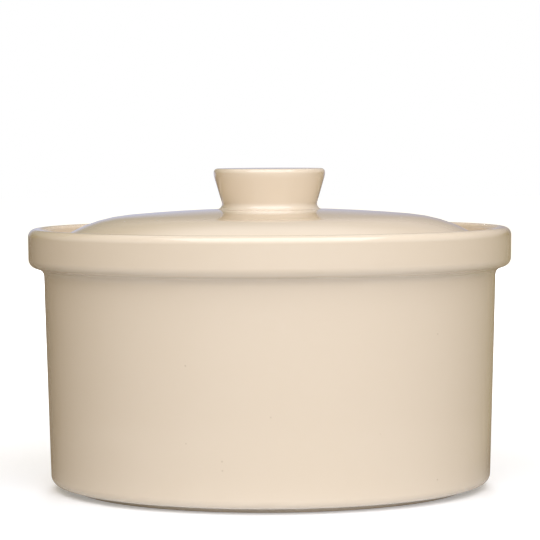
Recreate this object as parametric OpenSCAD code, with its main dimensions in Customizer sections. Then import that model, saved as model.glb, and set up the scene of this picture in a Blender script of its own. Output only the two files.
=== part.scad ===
// Round glazed stoneware casserole with a recessed domed lid.
// Millimetres, +Z up. The origin is the middle of the base, on the plane the foot ring stands on.
// Both pieces are turned round the Z axis, and the lid is drawn resting on its ledge inside the rim.

/* [Pot] */
// Outer diameter of the rim band at the lip
rim_d = 225; // [190:1:260]
// Height of the rim's top above the table
pot_h = 121.2; // [90:0.1:150]
// Thickness of the wall, measured level
wall_t = 6; // [5:0.25:8]
// Outward lean of the wall from base to rim, in degrees
wall_draft = 1.66; // [0.5:0.01:4]
// Thickness of the floor
floor_t = 5.5; // [5:0.25:10]
// Radius of the outer corner at the base
base_corner_r = 4.2; // [2:0.1:7]
// Radius of the inner corner between floor and wall
inner_corner_r = 6; // [5:0.5:16]

/* [Rim band] */
// Height of the band from its lower edge to the rim's top
rim_band_h = 17; // [14:0.25:22]
// How far the band's lower edge stands out from the wall
rim_overhang = 6.85; // [5:0.05:9]
// Outward lean of the band from its lower edge to the lip, in degrees
rim_draft = 0.75; // [0:0.05:2]
// Slope of the band's underside, in degrees from level
rim_under_angle = 20; // [10:1:30]
// Radius of the band's lower edge
rim_edge_r = 4.2; // [1.5:0.1:5]
// Radius of the hollow where the band meets the wall
rim_fillet_r = 3.7; // [1:0.1:4.5]
// Thickness of the rim above the ledge
rim_t = 6; // [5:0.1:8]
// Radius of the lip's outer edge
lip_outer_r = 3.5; // [2:0.1:4.5]

/* [Ledge] */
// Depth of the ledge below the rim's top
ledge_depth = 14.5; // [12:0.25:18]
// Radius of the hollow between ledge and rim
ledge_fillet_r = 1; // [0.5:0.1:1.5]
// Radius of the ledge's inner edge
ledge_edge_r = 1.2; // [0.5:0.1:2]

/* [Foot ring] */
// Width of the ring's flat face
foot_w = 5.5; // [4:0.25:9]
// Level distance from the base corner's rounding to the ring
foot_inset = 6; // [2:0.1:12]
// Height of the step outside the ring
foot_h = 2.4; // [1:0.1:5]
// Depth of the hollow inside the ring
foot_recess = 3; // [1.2:0.1:5]

/* [Lid] */
// Gap all round between the lid's edge and the rim
lid_gap = 1.3; // [0.8:0.1:2.5]
// Thickness of the lid's shell
lid_t = 5.5; // [4.5:0.25:7]
// Upright height of the lid's edge
lid_edge_h = 4.15; // [3:0.05:6]
// Radius of the two corners of the lid's edge
lid_edge_r = 1.2; // [0.5:0.1:1.4]
// Radius of the low curve across the crown
crown_r = 750; // [400:10:1200]
// Radius of the curve that turns down to the edge
shoulder_r = 67; // [55:1:90]
// Level width of that curve, inwards from the edge
shoulder_w = 38; // [30:0.5:44]

/* [Knob] */
// Diameter of the knob at its upper edge
knob_d = 52; // [44:0.1:60]
// Height of the knob's top above the crown
knob_h = 18.65; // [15:0.05:24]
// Inward lean of the knob's side towards its waist, in degrees
knob_lean = 16.4; // [8:0.1:20]
// Height of the upright edge below the top
knob_edge_h = 3.2; // [3:0.1:6]
// Radius that blends the upright edge into the leaning side
knob_blend_r = 8.5; // [2:0.5:9]
// Radius of the knob's top edge
knob_top_r = 1.9; // [1:0.1:2.2]
// Radius of the hollow where the knob meets the crown
knob_fillet_r = 2.7; // [1.5:0.1:4]
// Thickness of the knob's shell, which is hollow from below
knob_t = 6; // [5:0.25:8]
// Radius of the corner at the top of the knob's hollow
knob_hollow_r = 4; // [1:0.5:6]
// Radius of the edge round the mouth of the knob's hollow
knob_mouth_r = 4; // [1:0.5:5]

/* [Hidden] */
$fn = 128;
glaze = [0.90, 0.81, 0.68];
// Flat left along the crest of the lip
lip_flat = 0.4;
// Small radius broken on the edges of the foot ring and of the lid's seat
soft_r = 0.4;
// Radius at the root of the hollow under the base
recess_r = 1;
// Straight run left at the lid's edge, outside the shoulder curve
edge_run = 2;
// How far a corner circle reaches past its two straights, so that they cross and do not only touch
reach = 0.002;

rim_r = rim_d / 2;
band_z = pot_h - rim_band_h;
band_r = rim_r - rim_band_h * tan(rim_draft);
gallery_r = rim_r - rim_t;
ledge_z = pot_h - ledge_depth;
floor_z = foot_recess + floor_t;
lip_inner_r = rim_t - lip_outer_r - lip_flat;
// Level length of the band's underside, down to where it meets the leaning wall
under_w = rim_overhang / (1 - tan(rim_under_angle) * tan(wall_draft));
under_z = band_z - under_w * tan(rim_under_angle);
foot_out_r = wall_r(foot_h) - base_corner_r - foot_inset;
foot_in_r = foot_out_r - foot_w;

lid_r = gallery_r - lid_gap;
join_r = lid_r - shoulder_w;
// Slopes of the dome at the knob, where crown and shoulder join, and at the end of the shoulder
knob_a = asin(knob_d / 2 / crown_r);
join_a = asin(join_r / crown_r);
shoulder_cr = join_r - shoulder_r * sin(join_a);
edge_a = asin((lid_r - edge_run - shoulder_cr) / shoulder_r);
// Centres of the shoulder curve and of the crown curve, built up from the lid's edge
shoulder_cz = ledge_z + lid_edge_h + edge_run * tan(edge_a) - shoulder_r * cos(edge_a);
shoulder_c = [shoulder_cr, shoulder_cz];
crown_c = [0, shoulder_cz - (crown_r - shoulder_r) * cos(join_a)];
crown_z = crown_c[1] + crown_r;
// End of the shoulder under the lid, and where its slope runs out on the ledge
seat_end = shoulder_c + (shoulder_r - lid_t) * ray(edge_a);
seat_in_r = seat_end[0] + (seat_end[1] - ledge_z) / tan(edge_a);

knob_r = knob_d / 2;
knob_z = crown_z + knob_h;
blend_z = knob_z - knob_edge_h;
hollow_z = knob_z - knob_t;
// Level distance between the knob's outer side and the side of its hollow
hollow_in = knob_t / cos(knob_lean);

// Outer and inner radius of the pot's wall at a height
function wall_r(z) = band_r - rim_overhang - (band_z - z) * tan(wall_draft);
function inner_r(z) = wall_r(z) - wall_t;
// Direction that leans by an angle from upright
function ray(a) = [sin(a), cos(a)];
// Sharp corner of two straights that touch one circle at two slopes
function bend(c, r, a1, a2) = c + ray((a1 + a2) / 2) * r / cos((a2 - a1) / 2);
// Radius of the knob's side at a height
function side_r(z) = knob_r - (blend_z - z) * tan(knob_lean);
// Where the knob's side, moved in by a level distance, meets the crown's slope on a circle
function root_r(inset, r) =
    let (p = crown_c + r * ray(knob_a))
    (side_r(p[1] + p[0] * tan(knob_a)) - inset) / (1 + tan(knob_a) * tan(knob_lean));
function root(inset, r) =
    let (p = crown_c + r * ray(knob_a), x = root_r(inset, r))
    [x, p[1] - (x - p[0]) * tan(knob_a)];

// Corner geometry: a and c are the neighbours of the corner b, and r is its radius
function unit(v) = v / norm(v);
function half_angle(a, b, c) = acos(unit(a - b) * unit(c - b)) / 2;
function centre(a, b, c, r) = b + unit(unit(a - b) + unit(c - b)) * r / sin(half_angle(a, b, c));
function touch(a, b, c, r) = b + unit(a - b) * r / tan(half_angle(a, b, c));
function turn(a, b, c) = cross(b - a, c - b);
function xy(p) = [p[0], p[1]];
function before(points, i) = xy(points[(i + len(points) - 1) % len(points)]);
function after(points, i) = xy(points[(i + 1) % len(points)]);

// The piece between a sharp corner and its rounding, carried on past the corner
module corner(a, b, c, r) {
    m = centre(a, b, c, r);
    difference() {
        polygon([touch(a, b, c, r), b + unit(b - m) * min(r, 2), touch(c, b, a, r), m]);
        translate(m) circle(r + reach);
    }
}

// An outline of [radius, height, corner radius] points with true arcs at its corners
module rounded(points) {
    difference() {
        union() {
            polygon([for (p = points) xy(p)]);
            for (i = [0 : len(points) - 1])
                if (points[i][2] > 0 && turn(before(points, i), xy(points[i]), after(points, i)) < 0)
                    corner(after(points, i), xy(points[i]), before(points, i), points[i][2]);
        }
        for (i = [0 : len(points) - 1])
            if (points[i][2] > 0 && turn(before(points, i), xy(points[i]), after(points, i)) > 0)
                corner(before(points, i), xy(points[i]), after(points, i), points[i][2]);
    }
}

// Corner point of an outline: a place and its radius
function pt(p, r = 0) = [p[0], p[1], r];

// Pot: foot ring, leaning wall, overhanging rim band, and a ledge inside for the lid
module pot() {
    color(glaze) rotate_extrude() rounded([
        pt([0, foot_recess]),
        pt([foot_in_r - foot_recess, foot_recess], recess_r),
        pt([foot_in_r, 0], soft_r),
        pt([foot_out_r, 0], soft_r),
        pt([foot_out_r, foot_h], soft_r),
        pt([wall_r(foot_h), foot_h], base_corner_r),
        pt([wall_r(under_z), under_z], rim_fillet_r),
        pt([band_r, band_z], rim_edge_r),
        pt([rim_r, pot_h], lip_outer_r),
        pt([gallery_r, pot_h], lip_inner_r),
        pt([gallery_r, ledge_z], ledge_fillet_r),
        pt([inner_r(ledge_z), ledge_z], ledge_edge_r),
        pt([inner_r(floor_z), floor_z], inner_corner_r),
        pt([0, floor_z])
    ]);
}

// Lid: flat seat, upright edge, shoulder, crown, and a flared knob that is hollow from below
module lid() {
    color(glaze) rotate_extrude() rounded([
        pt([0, hollow_z]),
        pt([side_r(hollow_z) - hollow_in, hollow_z], knob_hollow_r),
        pt(root(hollow_in, crown_r - lid_t), knob_mouth_r),
        pt(bend(crown_c, crown_r - lid_t, knob_a, join_a), crown_r - lid_t),
        pt(bend(shoulder_c, shoulder_r - lid_t, join_a, edge_a), shoulder_r - lid_t),
        pt([seat_in_r, ledge_z], soft_r),
        pt([lid_r, ledge_z], lid_edge_r),
        pt([lid_r, ledge_z + lid_edge_h], lid_edge_r),
        pt(bend(shoulder_c, shoulder_r, join_a, edge_a), shoulder_r),
        pt(bend(crown_c, crown_r, knob_a, join_a), crown_r),
        pt(root(0, crown_r), knob_fillet_r),
        pt([knob_r, blend_z], knob_blend_r),
        pt([knob_r, knob_z], knob_top_r),
        pt([0, knob_z])
    ]);
}

pot();
lid();
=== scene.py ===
# %% [markdown]
# # A glazed casserole with a lid
# The real dish is two pieces of fired clay: a pot with an overhanging rim, and a lid that drops into it.
# Both were shaped on a turning wheel and dipped in a glossy cream glaze.
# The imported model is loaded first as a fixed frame, and everything below is built at its place and size.

# %% Load the fixed frame
import math

import bpy
from mathutils import Matrix, Vector


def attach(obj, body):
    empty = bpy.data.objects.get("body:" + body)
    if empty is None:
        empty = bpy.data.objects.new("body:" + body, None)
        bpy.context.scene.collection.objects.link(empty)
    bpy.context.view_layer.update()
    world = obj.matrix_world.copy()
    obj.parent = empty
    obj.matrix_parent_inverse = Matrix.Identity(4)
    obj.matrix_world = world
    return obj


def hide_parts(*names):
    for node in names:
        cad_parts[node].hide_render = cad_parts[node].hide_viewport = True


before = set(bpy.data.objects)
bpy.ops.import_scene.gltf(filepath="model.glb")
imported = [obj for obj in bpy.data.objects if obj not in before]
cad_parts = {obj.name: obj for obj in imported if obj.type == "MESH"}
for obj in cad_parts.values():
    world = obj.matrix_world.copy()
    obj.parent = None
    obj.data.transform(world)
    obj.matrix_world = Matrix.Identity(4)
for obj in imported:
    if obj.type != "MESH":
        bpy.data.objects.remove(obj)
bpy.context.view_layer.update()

# %% [markdown]
# ## The camera
# The dish was photographed with a long lens from a little above the lid, looking almost level.
# A camera can be moved by eye until the view looks right, but then rim and base never quite agree.
# So the place, the tilt and the lens below come from fitting the outline of the dish to the picture.
# The camera is rolled by a quarter of a degree, so the right side of the rim stands a hair higher.

# %% Camera
EYE = (0.0001, -1.2410, 0.1625)
TILT_DOWN, ROLL = 0.04942, -0.00471
SENSOR_MM, LENS_MM = 36, 177.16
aimed = Matrix.Rotation(math.pi / 2 - TILT_DOWN, 4, "X") @ Matrix.Rotation(ROLL, 4, "Z")

bpy.ops.object.select_all(action="DESELECT")
bpy.ops.object.camera_add(location=EYE, rotation=aimed.to_euler())
camera = bpy.context.object
camera.name = "camera"
camera.data.sensor_width = SENSOR_MM
camera.data.lens = LENS_MM
bpy.context.scene.camera = camera
print("camera at", EYE, "with a lens of", LENS_MM, "mm")

# %% [markdown]
# ## How a turned outline is drawn
# A potter's piece is the same all round, so its shape is one half outline, from the axis and back to it.
# The outline could be typed in as a long list of points, but then no size could be read from it.
# So it is drawn as by hand: one vertex is extruded along each straight, and spun round the centre
# of each rounded corner. This keeps every arc a true arc that runs smoothly into its straights.
# The corners are given in millimetres as radius, height and rounding.
# The finished outline is spun once round the upright axis, and the seam is merged.

# %% Pen strokes for an outline
MM = 0.001
END_STEP, LONG_STEP, NO_LENGTH = 0.4, 12, 1e-6
ARC_STEP, LEAST_ARC_STEPS = math.radians(6), 4


def corner_arc(before, corner, after, rounding):
    """Start, end and centre of the arc that rounds a corner."""
    u = (before - corner).normalized()
    v = (after - corner).normalized()
    half = u.angle(v) / 2
    back = rounding / math.tan(half)
    centre = corner + (u + v).normalized() * (rounding / math.sin(half))
    return corner + u * back, corner + v * back, centre


def stroke(here, there):
    """Extrudes the pen's vertex along a straight. Short end steps keep long flats evenly shaded."""
    run = there - here
    if run.length < NO_LENGTH:
        return
    ends = min(END_STEP / run.length, 1 / 4)
    middle = max(1, round(run.length / LONG_STEP))
    shares = [ends] + [(1 - 2 * ends) / middle] * middle + [ends]
    for share in shares:
        step = run * (share * MM)
        bpy.ops.mesh.extrude_region_move(TRANSFORM_OT_translate={"value": (step.x, 0, step.y)})


def arc(start, end, centre):
    """Spins the pen's vertex from start to end round the centre of a corner."""
    turn = (start - centre).angle_signed(end - centre)
    steps = max(LEAST_ARC_STEPS, math.ceil(abs(turn) / ARC_STEP))
    pivot = (centre.x * MM, 0, centre.y * MM)
    bpy.ops.mesh.spin(steps=steps, angle=turn, center=pivot, axis=(0, -1, 0))


# %% Turning an outline into a solid piece
TURN_STEPS = 220
PEN_SIZE, MERGE_WITHIN = 0.002, 2e-6


def turn_piece(name, outline):
    """Draws an outline of (radius, height, rounding) corners and turns it round the upright axis."""
    points = [Vector(p[:2]) for p in outline]
    bpy.ops.object.select_all(action="DESELECT")
    bpy.ops.mesh.primitive_plane_add(size=PEN_SIZE, enter_editmode=True)
    piece = bpy.context.object
    piece.name = name
    piece.data.name = name
    bpy.ops.mesh.merge(type="CENTER")
    bpy.ops.transform.translate(value=(points[0].x * MM, 0, points[0].y * MM))
    here = points[0]
    for i in range(1, len(points)):
        if i < len(points) - 1 and outline[i][2] > 0:
            start, end, centre = corner_arc(points[i - 1], points[i], points[i + 1], outline[i][2])
            stroke(here, start)
            arc(start, end, centre)
            here = end
        else:
            stroke(here, points[i])
            here = points[i]
    bpy.ops.mesh.select_all(action="SELECT")
    bpy.ops.mesh.spin(steps=TURN_STEPS, angle=2 * math.pi, center=(0, 0, 0), axis=(0, 0, 1))
    bpy.ops.mesh.select_all(action="SELECT")
    bpy.ops.mesh.remove_doubles(threshold=MERGE_WITHIN)
    bpy.ops.mesh.normals_make_consistent(inside=False)
    bpy.ops.object.mode_set(mode="OBJECT")
    bpy.ops.object.shade_smooth()
    size = [round(v / MM, 2) for v in piece.dimensions]
    print(name, "turned:", len(piece.data.polygons), "faces,", size, "mm")
    return piece


# %% [markdown]
# ## The pot
# The pot stands on a narrow foot ring. Its wall leans out slightly, and near the top it steps out into
# a thick band that the fingers lift by. Inside the band is a ledge that the lid drops onto.
# Foot, wall and band could be rings that overlap, but the real pot is one piece of clay without a seam.
# So all of it is one outline, from the middle of the base, up the outside, over the lip and down inside.

# %% Sizes of the pot
rim_r, pot_h, rim_t = 112.5, 121.2, 6
lip_outer, lip_inner = 3.5, 2.1
band_h, band_lean, band_edge = 17, math.radians(0.75), 4.2
overhang, under_slope, under_hollow = 6.85, math.radians(20), 3.7
wall_lean, wall_t, base_corner = math.radians(1.66), 6, 4.2
ledge_depth, ledge_hollow, ledge_edge = 14.5, 1, 1.2
floor_z, inner_corner = 8.5, 6
foot_h, foot_w, foot_inset = 2.4, 5.5, 6
recess, recess_hollow = 3, 1
soft_edge = 0.4
print("rim", 2 * rim_r, "mm across, pot", pot_h, "mm high")

# %% Places that follow from the sizes
band_z = pot_h - band_h
band_r = rim_r - band_h * math.tan(band_lean)
gallery_r = rim_r - rim_t
ledge_z = pot_h - ledge_depth


def wall_r(z):
    """Outer radius of the pot's wall at a height."""
    return band_r - overhang - (band_z - z) * math.tan(wall_lean)


under_w = overhang / (1 - math.tan(under_slope) * math.tan(wall_lean))
under_z = band_z - under_w * math.tan(under_slope)
foot_out_r = wall_r(foot_h) - base_corner - foot_inset
foot_in_r = foot_out_r - foot_w
print("wall", round(wall_r(0), 2), "mm at the base, band", round(band_r, 2), "mm")
print("foot ring from", round(foot_in_r, 2), "to", round(foot_out_r, 2), "mm")

# %% Turn the pot
pot = turn_piece("pot_body", [
    (0, recess, 0),
    (foot_in_r - recess, recess, recess_hollow),
    (foot_in_r, 0, soft_edge),
    (foot_out_r, 0, soft_edge),
    (foot_out_r, foot_h, soft_edge),
    (wall_r(foot_h), foot_h, base_corner),
    (wall_r(under_z), under_z, under_hollow),
    (band_r, band_z, band_edge),
    (rim_r, pot_h, lip_outer),
    (gallery_r, pot_h, lip_inner),
    (gallery_r, ledge_z, ledge_hollow),
    (wall_r(ledge_z) - wall_t, ledge_z, ledge_edge),
    (wall_r(floor_z) - wall_t, floor_z, inner_corner),
    (0, floor_z, 0),
])
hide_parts("pot")
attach(pot, "pot")

# %% [markdown]
# ## The lid
# The lid is a low dome. A very flat curve crosses its crown, and a tighter one turns down to an upright
# edge that stands on the ledge. The knob flares outwards to its top, so that it can be lifted with the
# fingertips, and it is hollow from below as thrown knobs are. It could be a piece of its own, but on the
# dish it runs into the crown without a seam, so it belongs to the same outline.
# The dome's two curves are written as corners with a very large rounding, so the same pen draws them.

# %% Sizes of the lid
lid_gap, lid_t = 1.3, 5.5
edge_h, edge_run, edge_corner = 4.15, 2, 1.2
crown_r, shoulder_r, shoulder_w = 750, 67, 38
knob_r, knob_h, knob_lean, knob_t = 26, 18.65, math.radians(16.4), 6
knob_edge_h, knob_top, knob_blend, knob_fillet = 3.2, 1.9, 8.5, 2.7
hollow_corner, mouth_edge = 4, 4
lid_r = gallery_r - lid_gap
print("lid", 2 * lid_r, "mm across, knob", 2 * knob_r, "mm across")

# %% Curves of the dome
join_r = lid_r - shoulder_w
knob_a = math.asin(knob_r / crown_r)
join_a = math.asin(join_r / crown_r)
shoulder_x = join_r - shoulder_r * math.sin(join_a)
edge_a = math.asin((lid_r - edge_run - shoulder_x) / shoulder_r)
shoulder_y = ledge_z + edge_h + edge_run * math.tan(edge_a) - shoulder_r * math.cos(edge_a)
shoulder_c = Vector((shoulder_x, shoulder_y))
crown_c = Vector((0, shoulder_y - (crown_r - shoulder_r) * math.cos(join_a)))
knob_z = crown_c.y + crown_r + knob_h
blend_z = knob_z - knob_edge_h
print("crown", round(crown_c.y + crown_r, 2), "mm high, knob", round(knob_z, 2), "mm high")


# %% Corners of the dome and of the knob
def lean(angle):
    """Direction that leans by an angle from upright."""
    return Vector((math.sin(angle), math.cos(angle)))


def bend(centre, radius, first, last):
    """Sharp corner outside an arc, between the two slopes where the arc starts and ends."""
    return centre + lean((first + last) / 2) * (radius / math.cos((last - first) / 2))


def knob_side(z):
    """Radius of the knob's leaning side at a height."""
    return knob_r - (blend_z - z) * math.tan(knob_lean)


def knob_root(inset, radius):
    """Where the knob's side, moved in by an inset, meets the crown."""
    p = crown_c + lean(knob_a) * radius
    slope = math.tan(knob_a)
    x = (knob_side(p.y + p.x * slope) - inset) / (1 + slope * math.tan(knob_lean))
    return Vector((x, p.y - (x - p.x) * slope))


hollow_in = knob_t / math.cos(knob_lean)
hollow_z = knob_z - knob_t
seat_end = shoulder_c + lean(edge_a) * (shoulder_r - lid_t)
seat_in_r = seat_end.x + (seat_end.y - ledge_z) / math.tan(edge_a)
root_at = [round(v, 2) for v in knob_root(0, crown_r)]
print("knob root at", root_at, "mm, seat from", round(seat_in_r, 2), "mm")

# %% Turn the lid
lid = turn_piece("lid_body", [
    (0, hollow_z, 0),
    (knob_side(hollow_z) - hollow_in, hollow_z, hollow_corner),
    (*knob_root(hollow_in, crown_r - lid_t), mouth_edge),
    (*bend(crown_c, crown_r - lid_t, knob_a, join_a), crown_r - lid_t),
    (*bend(shoulder_c, shoulder_r - lid_t, join_a, edge_a), shoulder_r - lid_t),
    (seat_in_r, ledge_z, soft_edge),
    (lid_r, ledge_z, edge_corner),
    (lid_r, ledge_z + edge_h, edge_corner),
    (*bend(shoulder_c, shoulder_r, join_a, edge_a), shoulder_r),
    (*bend(crown_c, crown_r, knob_a, join_a), crown_r),
    (*knob_root(0, crown_r), knob_fillet),
    (knob_r, blend_z, knob_blend),
    (knob_r, knob_z, knob_top),
    (0, knob_z, 0),
])
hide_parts("lid")
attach(lid, "lid")

# %% [markdown]
# ## Marks of the kiln
# No fired surface is quite even: its colour drifts a little, it ripples, and iron in the clay leaves
# tiny specks. Glaze and bare clay both show these marks, only at other scales. They could be built twice,
# but one node group that puts out the three values serves both materials.


# %% A node, and what feeds it
def add_node(tree, kind, x, y, **settings):
    """Adds a node at a place on the sheet and sets its properties."""
    node = tree.nodes.new(kind)
    node.location = (x, y)
    for key, value in settings.items():
        setattr(node, key, value)
    return node


def feed(tree, target, source):
    """Links an input to an output, or sets it to a constant. Colours are red, green and blue."""
    if isinstance(source, bpy.types.NodeSocket):
        tree.links.new(source, target)
    else:
        target.default_value = (*source, 1) if isinstance(source, tuple) else source


# %% Node group: marks of the kiln
MARKS = {
    "Drift Scale": 14.0, "Ripple Scale": 45.0,
    "Speck Scale": 190.0, "Speck Size": 0.12, "Speck Share": 0.04,
}
marks = bpy.data.node_groups.new("kiln_marks", "ShaderNodeTree")
for socket_name, value in MARKS.items():
    socket = marks.interface.new_socket(socket_name, in_out="INPUT", socket_type="NodeSocketFloat")
    socket.default_value = value
for socket_name in ("Drift", "Ripple", "Speck"):
    marks.interface.new_socket(socket_name, in_out="OUTPUT", socket_type="NodeSocketFloat")
group_in = add_node(marks, "NodeGroupInput", -900, 0)
group_out = add_node(marks, "NodeGroupOutput", 700, 0)
print("kiln_marks takes", ", ".join(MARKS))

# %% Patterns of the marks
place = add_node(marks, "ShaderNodeTexCoord", -900, -300)
drift = add_node(marks, "ShaderNodeTexNoise", -500, 300)
drift.inputs["Detail"].default_value = 3
ripple = add_node(marks, "ShaderNodeTexNoise", -500, 0)
ripple.inputs["Detail"].default_value = 2
ripple.inputs["Roughness"].default_value = 0.4
cells = add_node(marks, "ShaderNodeTexVoronoi", -500, -300)
for node, socket_name in ((drift, "Drift Scale"), (ripple, "Ripple Scale"), (cells, "Speck Scale")):
    marks.links.new(place.outputs["Object"], node.inputs["Vector"])
    marks.links.new(group_in.outputs[socket_name], node.inputs["Scale"])
print("patterns:", drift.name, ripple.name, cells.name)


# %% Specks in the middle of a few cells
def ramp(tree, source, start, end, first, last, x, y, curve="SMOOTHSTEP"):
    """A change from a first to a last value while the source goes from start to end."""
    node = add_node(tree, "ShaderNodeMapRange", x, y, interpolation_type=curve)
    sockets = ("Value", "From Min", "From Max", "To Min", "To Max")
    for socket_name, value in zip(sockets, (source, start, end, first, last)):
        feed(tree, node.inputs[socket_name], value)
    return node.outputs["Result"]


def number(tree, operation, first, second, x, y):
    """One step of arithmetic on two values."""
    node = add_node(tree, "ShaderNodeMath", x, y, operation=operation)
    feed(tree, node.inputs[0], first)
    feed(tree, node.inputs[1], second)
    return node.outputs[0]


near = ramp(marks, cells.outputs["Distance"], 0, group_in.outputs["Speck Size"], 1, 0, -200, -300)
pick = add_node(marks, "ShaderNodeSeparateColor", -200, -600)
marks.links.new(cells.outputs["Color"], pick.inputs["Color"])
chosen = number(marks, "LESS_THAN", pick.outputs["Red"], group_in.outputs["Speck Share"], 50, -600)
speck = number(marks, "MULTIPLY", near, chosen, 300, -300)
marks.links.new(drift.outputs["Fac"], group_out.inputs["Drift"])
marks.links.new(ripple.outputs["Fac"], group_out.inputs["Ripple"])
marks.links.new(speck, group_out.inputs["Speck"])
print("kiln_marks:", len(marks.nodes), "nodes")

# %% [markdown]
# ## The glaze
# The dish is dipped in a glossy cream glaze, which melts into a glassy skin.
# One plain glossy shader would do from afar, but a real glaze is two things: a coloured body, and clear
# glass over it. So the shader's base carries the cream, which drifts where the glaze lies thicker, and
# a few iron specks. Its coat is the glass: it mirrors crisply, and a slow swell of its own bends what it
# mirrors a little. What the bare clay needs as well is put into one function.


# %% Mixing and bumps
def mix(tree, factor, first, last, x, y, kind="RGBA"):
    """A colour or value that goes from a first to a last one as the factor goes from 0 to 1."""
    node = add_node(tree, "ShaderNodeMix", x, y, data_type=kind)
    for socket_name, value in (("Factor", factor), ("A", first), ("B", last)):
        feed(tree, node.inputs[socket_name], value)
    return node.outputs["Result"]


def bump(tree, height, strength, depth, x, y):
    """A bumpy normal from a height. The depth is in metres."""
    node = add_node(tree, "ShaderNodeBump", x, y)
    for socket_name, value in (("Height", height), ("Strength", strength), ("Distance", depth)):
        feed(tree, node.inputs[socket_name], value)
    return node.outputs["Normal"]


# %% A finish with marks of the kiln
def fired_finish(name, body, specks, roughness, relief, other_marks):
    """A material with a body of two colours, specks (colour, strength) and relief (strength, depth)."""
    material = bpy.data.materials.new(name)
    material.use_nodes = True
    tree = material.node_tree
    shader = tree.nodes["Principled BSDF"]
    kiln = add_node(tree, "ShaderNodeGroup", -900, 0, node_tree=marks)
    for socket_name, value in other_marks.items():
        kiln.inputs[socket_name].default_value = value
    speck_colour, speck_strength = specks
    drifting = mix(tree, kiln.outputs["Drift"], *body, -600, 300)
    faint = number(tree, "MULTIPLY", kiln.outputs["Speck"], speck_strength, -600, 50)
    feed(tree, shader.inputs["Base Color"], mix(tree, faint, drifting, speck_colour, -350, 300))
    uneven = ramp(tree, kiln.outputs["Drift"], 0, 1, *roughness, -600, -150, "LINEAR")
    feed(tree, shader.inputs["Roughness"], uneven)
    feed(tree, shader.inputs["Normal"], bump(tree, kiln.outputs["Ripple"], *relief, -350, -350))
    return material, tree, shader


# %% Material: cream glaze
THIN_GLAZE, THICK_GLAZE = (0.703, 0.607, 0.487), (0.680, 0.582, 0.458)
IRON = (0.33, 0.24, 0.14)
GLASS_IOR, GLASS_ROUGHNESS = 1.5, 0.008
SWELL_SCALE, SWELL = 38, (0.04, 0.0008)

glaze, tree, shader = fired_finish(
    "cream_glaze", body=(THIN_GLAZE, THICK_GLAZE), specks=(IRON, 0.45),
    roughness=(0.12, 0.20), relief=(0.15, 0.0006), other_marks={})
shader.inputs["IOR"].default_value = GLASS_IOR
shader.inputs["Coat Weight"].default_value = 1.0
shader.inputs["Coat Roughness"].default_value = GLASS_ROUGHNESS
shader.inputs["Coat IOR"].default_value = GLASS_IOR

spot = add_node(tree, "ShaderNodeTexCoord", -900, -600)
swell = add_node(tree, "ShaderNodeTexNoise", -600, -600)
swell.inputs["Scale"].default_value = SWELL_SCALE
swell.inputs["Detail"].default_value = 1
tree.links.new(spot.outputs["Object"], swell.inputs["Vector"])
feed(tree, shader.inputs["Coat Normal"], bump(tree, swell.outputs["Fac"], *SWELL, -350, -600))
print("cream_glaze:", len(tree.nodes), "nodes")

# %% [markdown]
# ## The bare clay
# Glaze melts in the kiln and would glue the dish to its shelf, so it is wiped off where a piece stands:
# on the face of the foot ring, and under the lid's edge. There the fired clay shows, buff, matt and gritty.
# A height mask inside the glaze could fade from one to the other, but wiped glaze ends at a sharp line.
# So the clay is a material of its own, with finer marks and many more specks, on the faces that were wiped.

# %% Material: bare clay
PALE_CLAY, DARK_CLAY = (0.56, 0.43, 0.30), (0.47, 0.34, 0.22)
GRIT = (0.24, 0.16, 0.10)
CLAY_IOR = 1.45
CLAY_MARKS = {
    "Drift Scale": 60, "Ripple Scale": 1400,
    "Speck Scale": 520, "Speck Size": 0.4, "Speck Share": 0.22,
}

clay, tree, shader = fired_finish(
    "bare_clay", body=(PALE_CLAY, DARK_CLAY), specks=(GRIT, 0.6),
    roughness=(0.78, 0.92), relief=(0.5, 0.0002), other_marks=CLAY_MARKS)
shader.inputs["IOR"].default_value = CLAY_IOR
print("bare_clay:", len(tree.nodes), "nodes")

# %% Glaze on both pieces, and bare clay where they stand
WIPED_H = 0.3


def finish_piece(piece, stands_at):
    """Glazes a piece, and leaves the clay bare at the height in millimetres where it stands."""
    piece.data.materials.clear()
    piece.data.materials.append(glaze)
    piece.data.materials.append(clay)
    bpy.ops.object.select_all(action="DESELECT")
    bpy.context.view_layer.objects.active = piece
    bpy.context.tool_settings.mesh_select_mode = (False, False, True)
    for face in piece.data.polygons:
        face.select = face.center.z < (stands_at + WIPED_H) * MM
    bpy.ops.object.mode_set(mode="EDIT")
    piece.active_material_index = 1
    bpy.ops.object.material_slot_assign()
    bpy.ops.object.mode_set(mode="OBJECT")
    bpy.context.tool_settings.mesh_select_mode = (True, False, False)
    bare = sum(face.material_index == 1 for face in piece.data.polygons)
    print(piece.name, "glazed, with", bare, "bare faces of", len(piece.data.polygons))


finish_piece(pot, 0)
finish_piece(lid, ledge_z)

# %% [markdown]
# ## The paper floor
# The photograph is a cut-out on white. Here the dish stands on white paper, which has to look white to
# the camera, to keep the soft shadow of the dish, and to throw light up onto the rounding of the base.
# Stronger lamps would whiten a plain floor too, but they would bleach the dish and lose the shadow.
# So a part of the white is a glow that only the camera and reflections see, with less of it where the
# shadow lies. The paper itself is whitest at the foot, and to the camera glows least there, so that it
# looks even.
# In reflections it glows most at the foot: a painted reflection that brightens the rounding of the base.
# In the glaze it is seen to end a short way from the dish, on a darker table that only reflections meet:
# the wall mirrors that edge as a faint step.

# %% Floor
FLOOR_SIZE = 12
bpy.ops.object.select_all(action="DESELECT")
bpy.ops.mesh.primitive_plane_add(size=FLOOR_SIZE)
ground = bpy.context.object
ground.name = "floor"
print("floor", ground.dimensions.x, "m wide")

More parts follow.
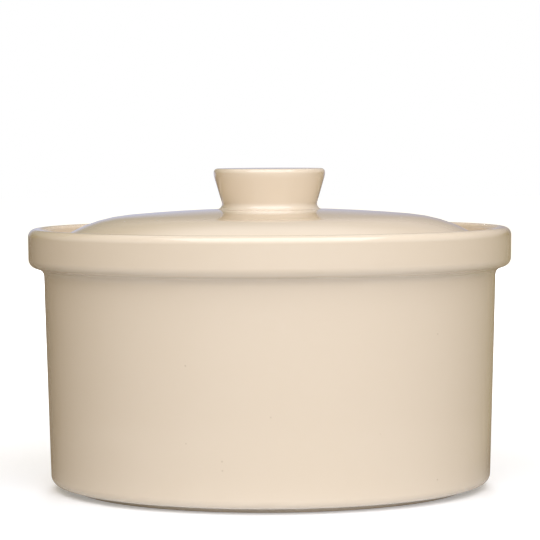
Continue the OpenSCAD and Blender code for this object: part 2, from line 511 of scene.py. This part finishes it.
# %% Distance from the dish, and what the glaze mirrors
paper = bpy.data.materials.new("white_paper")
paper.use_nodes = True
tree = paper.node_tree
tree.nodes.clear()
spot = add_node(tree, "ShaderNodeTexCoord", -1200, 0)
length = add_node(tree, "ShaderNodeVectorMath", -1000, 0, operation="LENGTH")
tree.links.new(spot.outputs["Object"], length.inputs[0])
far = length.outputs["Value"]
in_glaze = add_node(tree, "ShaderNodeLightPath", -1000, -600).outputs["Is Glossy Ray"]

FOOT_SPAN, PAPER_EDGE = (0.102, 0.125), (0.30, 0.345)
off_foot = ramp(tree, far, *FOOT_SPAN, 0, 1, -800, 0)
off_paper = ramp(tree, far, *PAPER_EDGE, 0, 1, -800, -500)
print("paper whiter within", FOOT_SPAN[1], "m of the axis, mirrored as far as", PAPER_EDGE[1], "m")


# %% Glow of the paper
def seen_directly(tree):
    """A mask that is 1 for what is seen straight, mirrored in a glossy surface or through glass."""
    seen = add_node(tree, "ShaderNodeLightPath", -800, 500)
    camera_ray, glossy_ray = seen.outputs["Is Camera Ray"], seen.outputs["Is Glossy Ray"]
    either = number(tree, "MAXIMUM", camera_ray, glossy_ray, -600, 500)
    return number(tree, "MAXIMUM", either, seen.outputs["Is Transmission Ray"], -400, 500)


FOOT_GLOW, NEAR_GLOW, FAR_GLOW, GLOW_SPAN = 0.23, 0.42, 0.95, (0.12, 0.7)
# Glow that reflections see: strong at the foot, a painted reflection on the base's rounding, and weak
# farther out.
MIRROR_NEAR, MIRROR_FAR, MIRROR_SPAN = 0.45, 0.10, (0.11, 0.18)
open_glow = ramp(tree, far, *GLOW_SPAN, NEAR_GLOW, FAR_GLOW, -800, 250)
straight = mix(tree, off_foot, FOOT_GLOW, open_glow, -600, 250, "FLOAT")
mirrored = ramp(tree, far, *MIRROR_SPAN, MIRROR_NEAR, MIRROR_FAR, -600, 0)
level = mix(tree, in_glaze, straight, mirrored, -400, 200, "FLOAT")
glow = add_node(tree, "ShaderNodeEmission", 0, 200)
feed(tree, glow.inputs["Strength"], number(tree, "MULTIPLY", seen_directly(tree), level, -200, 200))
print("paper glows from", FOOT_GLOW, "at the foot to", FAR_GLOW, "far away")

# %% Colour of the paper
FOOT_PAPER, PAPER, TABLE = (0.80, 0.82, 0.86), (0.58, 0.602, 0.645), (0.38, 0.40, 0.45)
sheet_tone = mix(tree, off_foot, FOOT_PAPER, PAPER, -600, -250)
past_edge = number(tree, "MULTIPLY", in_glaze, off_paper, -600, -500)
matt = add_node(tree, "ShaderNodeBsdfDiffuse", 0, 0)
feed(tree, matt.inputs["Color"], mix(tree, past_edge, sheet_tone, TABLE, -400, -300))
both = add_node(tree, "ShaderNodeAddShader", 200, 50)
tree.links.new(glow.outputs[0], both.inputs[0])
tree.links.new(matt.outputs[0], both.inputs[1])
out = add_node(tree, "ShaderNodeOutputMaterial", 400, 50)
tree.links.new(both.outputs[0], out.inputs["Surface"])
ground.data.materials.append(paper)
print("white_paper:", len(tree.nodes), "nodes")

# %% [markdown]
# ## The room
# A photographer's room gives light from all round. One even white would be the simplest world, but it
# would fill every hollow with the same flat light. So the room is white only to the camera and in
# reflections. The light that it gives is dim and warm, and the hollows turn warmer than the front.

# %% World: white to the camera, a plain level of light for the rest
ROOM, WHITE = (0.345, 0.245, 0.065), (1, 1, 1)
world = bpy.context.scene.world or bpy.data.worlds.new("studio")
bpy.context.scene.world = world
world.use_nodes = True
tree = world.node_tree
tree.nodes.clear()
room = add_node(tree, "ShaderNodeBackground", -200, 100)
feed(tree, room.inputs["Color"], ROOM)
white = add_node(tree, "ShaderNodeBackground", -200, -50)
feed(tree, white.inputs["Color"], WHITE)
mixed = add_node(tree, "ShaderNodeMixShader", 50, 50)
tree.links.new(seen_directly(tree), mixed.inputs["Fac"])
tree.links.new(room.outputs[0], mixed.inputs[1])
tree.links.new(white.outputs[0], mixed.inputs[2])
out = add_node(tree, "ShaderNodeOutputWorld", 300, 50)
tree.links.new(mixed.outputs[0], out.inputs["Surface"])
print("world:", len(tree.nodes), "nodes")

# %% [markdown]
# ## The lamps
# The dish is lit by large soft lights from the front and from above. Points or suns would be quicker to
# set up, but their shadows are hard and their highlights are dots. A large lamp gives soft shadows and
# a highlight with a shape of its own. One more lamp stands behind the dish, so that its back is lit too.
# The two lamps that stand low would show as white squares in the glaze, so reflections skip them.

# %% Lamps
COOL = (0.87, 0.90, 0.995)
WALL_MIDDLE, LEDGE_MIDDLE = (0, 0, 0.07), (0, 0, 0.1)


def soft_lamp(name, place, target, size, watts, in_reflections=True):
    """A cool soft light of a width and a height that faces a target point."""
    aim = (Vector(target) - Vector(place)).to_track_quat("-Z", "Y").to_euler()
    bpy.ops.object.select_all(action="DESELECT")
    bpy.ops.object.light_add(type="AREA", location=place, rotation=aim)
    lamp = bpy.context.object
    lamp.name = name
    lamp.data.shape = "RECTANGLE"
    lamp.data.size, lamp.data.size_y = size
    lamp.data.energy = watts
    lamp.data.color = COOL
    lamp.visible_glossy = in_reflections
    print(name, watts, "W at", place)


soft_lamp("key_light", (0.38, -2.0, 0.9), WALL_MIDDLE, (2.0, 1.1), 28.7, in_reflections=False)
soft_lamp("front_light", (0.05, -0.75, 1.15), LEDGE_MIDDLE, (2.0, 1.2), 14.6)
soft_lamp("top_light", (0, -0.3, 1.2), LEDGE_MIDDLE, (1.6, 0.7), 2.2)
soft_lamp("back_light", (0, 2.0, 0.55), WALL_MIDDLE, (0.6, 0.6), 36, in_reflections=False)

# %% [markdown]
# ## A screen for the reflections
# A glossy pale dish melts into a white room along its outline, because there the glaze mirrors what
# stands behind it. Photographers lay a dark cloth and stand a grey card round the back of the dish,
# outside the picture. Separate flat cards would show their hard edges in the glaze.
# So both are one round screen here, which only reflections meet. It is no lamp, yet it glows with the
# shades of cloth, strip and card, so what the glaze mirrors of it is painted reflection. It lies on the
# floor, then rises, and fades out towards the front and the top. The cloth reaches a little way up. Above
# it come a narrow strip, cool right behind the dish, and the card. Cloth and card are lighter on the right,
# as the picture shows in the lid.

# %% Screen round the back of the dish
INNER_R, WIDEN, RISE, OFF_FLOOR = 0.097, 3.3, 0.75, 0.0008
bpy.ops.object.select_all(action="DESELECT")
bpy.ops.mesh.primitive_circle_add(vertices=96, radius=INNER_R, enter_editmode=True)
screen = bpy.context.object
screen.name = "screen"
bpy.ops.transform.translate(value=(0, 0, OFF_FLOOR))
bpy.ops.mesh.extrude_region_move()
bpy.ops.transform.resize(value=(WIDEN, WIDEN, 1))
bpy.ops.mesh.extrude_region_move(TRANSFORM_OT_translate={"value": (0, 0, RISE)})
bpy.ops.object.mode_set(mode="OBJECT")
screen.visible_camera = False
screen.visible_diffuse = False
screen.visible_shadow = False
print("screen", [round(v, 3) for v in screen.dimensions], "m")

# %% Where the screen is solid
MIDDLE, BACKWARDS = (0, -0.08, 0), (0, 0, math.radians(93))
SIDE_SPAN, TOP_SPAN = (0.10, 0.31), (0.30, 0.58)

screen_glow = bpy.data.materials.new("cloth_and_card_glow")
screen_glow.use_nodes = True
tree = screen_glow.node_tree
tree.nodes.clear()
spot = add_node(tree, "ShaderNodeTexCoord", -1400, 0)
turned_back = add_node(tree, "ShaderNodeMapping", -1200, 300, vector_type="TEXTURE")
turned_back.inputs["Location"].default_value = MIDDLE
turned_back.inputs["Rotation"].default_value = BACKWARDS
tree.links.new(spot.outputs["Object"], turned_back.inputs["Vector"])
bearing = add_node(tree, "ShaderNodeTexGradient", -1000, 300, gradient_type="RADIAL")
tree.links.new(turned_back.outputs[0], bearing.inputs["Vector"])
off_middle = number(tree, "SUBTRACT", bearing.outputs["Fac"], 0.5, -800, 300)
to_side = number(tree, "ABSOLUTE", off_middle, 0, -600, 300)
behind = ramp(tree, to_side, *SIDE_SPAN, 1, 0, -400, 300)
split = add_node(tree, "ShaderNodeSeparateXYZ", -1200, -200)
tree.links.new(spot.outputs["Object"], split.inputs[0])
across, height = split.outputs["X"], split.outputs["Z"]
low = ramp(tree, height, *TOP_SPAN, 1, 0, -400, 50)
solid = number(tree, "MULTIPLY", behind, low, -200, 200)
print("screen fades out between", TOP_SPAN[0], "and", TOP_SPAN[1], "m up")

# %% Glow shades of the cloth and the card, which paint the reflections
CLOTH_LEFT, CLOTH_RIGHT = (0.25, 0.192, 0.125), (0.37, 0.30, 0.185)
STRIP_LEFT, STRIP_RIGHT, STRIP_ENDS = (0.55, 0.56, 0.68), (0.40, 0.34, 0.32), (0.24, 0.18, 0.06)
CARD_LEFT, CARD_RIGHT, CARD_TOP = (0.30, 0.27, 0.175), (0.48, 0.415, 0.35), (0.64, 0.57, 0.51)
STRIP_FROM, CARD_FROM = (0.10, 0.125), (0.135, 0.19)


def fade(tree, source, span, first, last, x, y):
    """A colour that goes from a first to a last one while the source crosses a span."""
    return mix(tree, ramp(tree, source, *span, 0, 1, x - 200, y), first, last, x, y)


cloth = fade(tree, across, (0.11, 0.21), CLOTH_LEFT, CLOTH_RIGHT, -600, -200)
strip = fade(tree, across, (-0.02, 0.20), STRIP_LEFT, STRIP_RIGHT, -800, -450)
aside = number(tree, "ABSOLUTE", across, 0, -1000, -700)
strip = fade(tree, aside, (0.14, 0.24), strip, STRIP_ENDS, -600, -700)
card = fade(tree, height, (0.17, 0.28), CARD_RIGHT, CARD_TOP, -800, -950)
card = fade(tree, across, (-0.25, 0.05), CARD_LEFT, card, -600, -1200)
shade = fade(tree, height, STRIP_FROM, cloth, strip, -350, -300)
shade = fade(tree, height, CARD_FROM, shade, card, -100, -500)
print("cloth up to", STRIP_FROM[0], "m, card from", CARD_FROM[1], "m")

# %% Put the screen's material together
# The screen is no lamp, yet it glows with these shades: what the glaze mirrors of it is painted reflection.
plain = add_node(tree, "ShaderNodeEmission", 100, -100)
feed(tree, plain.inputs["Color"], shade)
open_air = add_node(tree, "ShaderNodeBsdfTransparent", 100, 100)
mixed = add_node(tree, "ShaderNodeMixShader", 300, 0)
feed(tree, mixed.inputs["Fac"], solid)
tree.links.new(open_air.outputs[0], mixed.inputs[1])
tree.links.new(plain.outputs[0], mixed.inputs[2])
out = add_node(tree, "ShaderNodeOutputMaterial", 500, 0)
tree.links.new(mixed.outputs[0], out.inputs["Surface"])
screen.data.materials.append(screen_glow)
print("cloth_and_card_glow:", len(tree.nodes), "nodes")

# %% [markdown]
# ## Colour
# A filmic view transform would soften the lights, but it would also shift the cream. The plain one shows
# colours as they are written.

# %% Finish
bpy.context.scene.view_settings.view_transform = "Standard"
